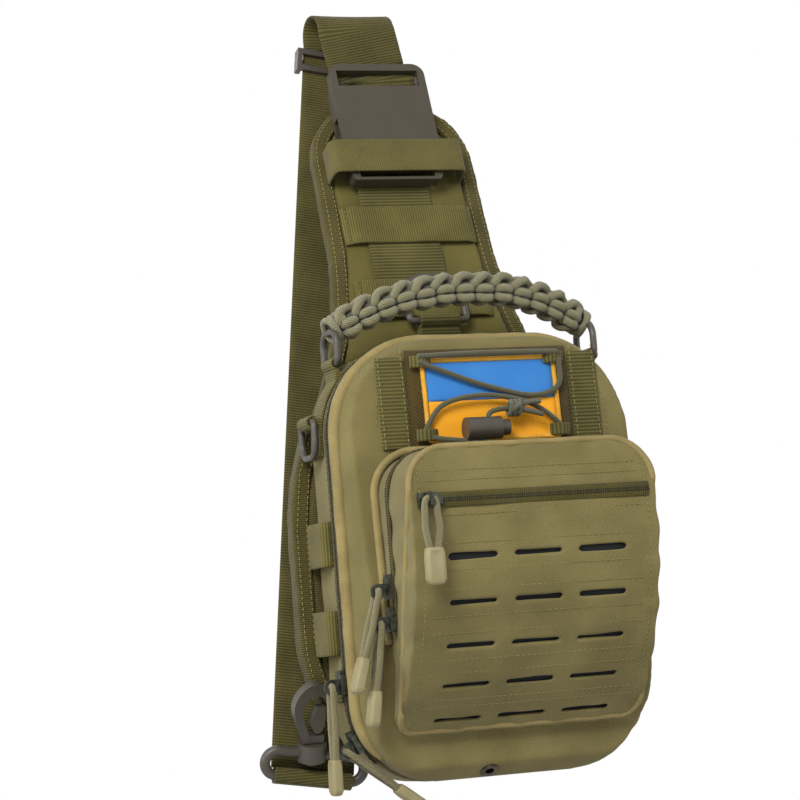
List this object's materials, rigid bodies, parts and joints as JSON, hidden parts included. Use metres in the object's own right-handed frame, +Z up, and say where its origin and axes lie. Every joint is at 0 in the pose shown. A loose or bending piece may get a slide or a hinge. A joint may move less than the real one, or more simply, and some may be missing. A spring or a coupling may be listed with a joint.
{
  "type": "sling bag",
  "caption": "Single-strap sling pack with clamshell main pocket, bulged front pocket with slotted panel, padded yoke, buckled shoulder strap, snap hook and braided grab handle",
  "frame": {"origin": "underside of the strap's top loop, where the bag hangs", "axes": "+X to the bag's right seen from the front, +Y from the front face to the back panel, +Z up"},
  "size_m": [0.2311, 0.2307, 0.4889],
  "materials": {
    "body_fabric": "coated woven nylon, coarse weave, olive",
    "mesh_back": "air mesh",
    "foam": "closed-cell foam",
    "binding": "grosgrain tape",
    "zip_coil": "nylon coil on tape",
    "webbing": "woven nylon webbing",
    "elastic": "woven elastic",
    "backing": "dark lining",
    "grommet_metal": "dark enamel",
    "loop_field": "brushed loop pile",
    "patch_cloth": "twill in two colours with a sewn edge",
    "shock_cord": "braided sleeve over rubber",
    "hardware_plastic": "moulded acetal, fine texture",
    "spring_steel": "bright",
    "paracord": "braided nylon cord",
    "slider_metal": "matt enamel over zinc",
    "pull_plastic": "soft moulded tip on cord"
  },
  "bodies": {
    "bag": {"rear_shell": "body_fabric", "back_panel": "mesh_back", "yoke_pad": "body_fabric", "back_foam": "foam", "yoke_foam": "foam", "back_binding": "binding", "yoke_binding": "binding", "main_zip_rear": "zip_coil", "side_tabs": "webbing", "side_webbing": "webbing", "anchor_tab": "webbing", "yoke_ladder_webbing": "webbing", "yoke_cross_webbing": "webbing", "yoke_ring_tab": "webbing", "strap_top": "webbing", "strap_rear": "webbing", "elastic_keeper": "elastic", "buckle_plug": "hardware_plastic"},
    "front": {"front_shell": "body_fabric", "main_zip_front": "zip_coil", "grommet": "grommet_metal", "pocket_gusset": "body_fabric", "loop_field": "loop_field", "patch": "patch_cloth", "field_webbing": "webbing", "cord_tabs": "webbing", "shock_cord": "shock_cord", "cord_lock_barrel": "hardware_plastic", "cord_lock_spring": "spring_steel"},
    "pocket_lid": {"pocket_panel": "body_fabric", "slot_backing": "backing", "front_zip": "zip_coil", "side_zip": "zip_coil"},
    "handle": {"handle_braid": "paracord", "handle_rings": "hardware_plastic"},
    "cord_lock_plunger": {"cord_lock_plunger": "hardware_plastic"},
    "left_side_ring": {"left_side_ring": "hardware_plastic"},
    "right_side_ring": {"right_side_ring": "hardware_plastic"},
    "yoke_ring": {"yoke_ring": "hardware_plastic"},
    "buckle_socket": {"buckle_socket": "hardware_plastic"},
    "buckle_arm_left": {"buckle_arm_left": "hardware_plastic"},
    "buckle_arm_right": {"buckle_arm_right": "hardware_plastic"},
    "tri_glide": {"tri_glide": "hardware_plastic"},
    "strap_ring": {"strap_ring": "hardware_plastic"},
    "hook_collar": {"hook_collar": "hardware_plastic"},
    "hook_body": {"hook_body": "hardware_plastic"},
    "hook_gate": {"hook_gate": "hardware_plastic"},
    "main_upper_slider": {"main_upper_slider": "slider_metal"},
    "main_lower_slider": {"main_lower_slider": "slider_metal"},
    "pocket_upper_slider": {"pocket_upper_slider": "slider_metal"},
    "pocket_lower_slider": {"pocket_lower_slider": "slider_metal"},
    "front_slider": {"front_slider": "slider_metal"},
    "main_upper_pull": {"main_upper_pull": "pull_plastic"},
    "main_lower_pull": {"main_lower_pull": "pull_plastic"},
    "pocket_upper_pull": {"pocket_upper_pull": "pull_plastic"},
    "pocket_lower_pull": {"pocket_lower_pull": "pull_plastic"},
    "front_pull": {"front_pull": "pull_plastic"}
  },
  "joints": [
    {"name": "front_open", "type": "hinge", "parent": "bag", "child": "front", "pos_m": [0.0145, -0.125, -0.4722], "axis": [1, 0, 0], "range_deg": [0, 60]},
    {"name": "pocket_open", "type": "hinge", "parent": "front", "child": "pocket_lid", "pos_m": [0.0145, -0.1429, -0.444], "axis": [1, 0, 0], "range_deg": [0, 35]},
    {"name": "main_upper_zip", "type": "slide", "parent": "bag", "child": "main_upper_slider", "axis": [0, 0, 1], "range_m": [0, 0.12]},
    {"name": "main_lower_zip", "type": "slide", "parent": "front", "child": "main_lower_slider", "axis": [-0.454, 0, 0.891], "range_m": [-0.01, 0]},
    {"name": "pocket_upper_zip", "type": "slide", "parent": "front", "child": "pocket_upper_slider", "axis": [0, 0, 1], "range_m": [0, 0.045]},
    {"name": "pocket_lower_zip", "type": "slide", "parent": "front", "child": "pocket_lower_slider", "axis": [0, 0, 1], "range_m": [-0.004, 0.003]},
    {"name": "front_zip_run", "type": "slide", "parent": "pocket_lid", "child": "front_slider", "axis": [1, 0, 0], "range_m": [0, 0.115]},
    {"name": "main_upper_pull_swing", "type": "hinge", "parent": "main_upper_slider", "child": "main_upper_pull", "pos_m": [-0.0831, -0.125, -0.414], "axis": [0, 1, 0], "range_deg": [0, 120]},
    {"name": "main_lower_pull_swing", "type": "hinge", "parent": "main_lower_slider", "child": "main_lower_pull", "pos_m": [-0.0766, -0.125, -0.45023], "axis": [0, 1, 0], "range_deg": [0, 40]},
    {"name": "pocket_upper_pull_swing", "type": "hinge", "parent": "pocket_upper_slider", "child": "pocket_upper_pull", "pos_m": [-0.0651, -0.165, -0.364], "axis": [0, 1, 0], "range_deg": [0, 100]},
    {"name": "pocket_lower_pull_swing", "type": "hinge", "parent": "pocket_lower_slider", "child": "pocket_lower_pull", "pos_m": [-0.0651, -0.165, -0.382], "axis": [0, 1, 0], "range_deg": [-7, 3]},
    {"name": "front_pull_swing", "type": "hinge", "parent": "front_slider", "child": "front_pull", "pos_m": [-0.0475, -0.2119, -0.318], "axis": [-1, 0, 0], "range_deg": [0, 100]},
    {"name": "handle_fold", "type": "hinge", "parent": "bag", "child": "handle", "pos_m": [0.0175, -0.1047, -0.231], "axis": [1, 0, 0], "range_deg": [-5, 40], "deforming": ["side_tabs"]},
    {"name": "left_ring_swing", "type": "hinge", "parent": "bag", "child": "left_side_ring", "pos_m": [-0.079, -0.1047, -0.264], "axis": [0, 1, 0], "range_deg": [0, 90]},
    {"name": "right_ring_swing", "type": "hinge", "parent": "bag", "child": "right_side_ring", "pos_m": [0.108, -0.1047, -0.264], "axis": [0, -1, 0], "range_deg": [0, 90]},
    {"name": "yoke_ring_swing", "type": "hinge", "parent": "bag", "child": "yoke_ring", "pos_m": [0.0185, -0.07089, -0.20212], "axis": [1, 0, 0], "range_deg": [0, 140]},
    {"name": "buckle_release", "type": "slide", "parent": "bag", "child": "buckle_socket", "axis": [0, 0.3404, 0.9403], "range_m": [0, 0.03], "deforming": ["strap_top"]},
    {"name": "buckle_squeeze_left", "type": "hinge", "parent": "bag", "child": "buckle_arm_left", "pos_m": [-0.0085, -0.03236, -0.08803], "axis": [0, 0.9403, -0.3404], "range_deg": [0, 6], "stiffness_Nm_per_rad": 0.5},
    {"name": "buckle_squeeze_right", "type": "hinge", "parent": "bag", "child": "buckle_arm_right", "pos_m": [0.0275, -0.03236, -0.08803], "axis": [0, 0.9403, -0.3404], "range_deg": [-6, 0], "stiffness_Nm_per_rad": 0.5},
    {"name": "tri_glide_run", "type": "slide", "parent": "bag", "child": "tri_glide", "axis": [-0.175, -0.1845, -0.9671], "range_m": [0, 0.12]},
    {"name": "strap_ring_swing", "type": "hinge", "parent": "bag", "child": "strap_ring", "pos_m": [-0.08372, -0.0787, -0.46489], "axis": [0.9848, 0, -0.1736], "range_deg": [0, 8]},
    {"name": "hook_swing", "type": "hinge", "parent": "strap_ring", "child": "hook_collar", "pos_m": [-0.08325, -0.0827, -0.45076], "axis": [0.9848, 0, -0.1736], "range_deg": [0, 8]},
    {"name": "hook_swivel", "type": "hinge", "parent": "hook_collar", "child": "hook_body", "pos_m": [-0.0845, -0.0827, -0.4507], "axis": [0, -0.3746, 0.9272], "range_deg": [-10, 10]},
    {"name": "hook_gate_press", "type": "hinge", "parent": "hook_body", "child": "hook_gate", "pos_m": [-0.082, -0.08813, -0.43726], "axis": [0, -0.9272, -0.3746], "range_deg": [0, 18], "stiffness_Nm_per_rad": 0.05},
    {"name": "cord_lock_press", "type": "slide", "parent": "front", "child": "cord_lock_plunger", "axis": [-1, 0, 0], "range_m": [0, 0.0035], "stiffness_N_per_m": 800}
  ],
  "couplings": [
    {"joint": "buckle_squeeze_right", "follows": "buckle_squeeze_left", "ratio": -1}
  ]
}
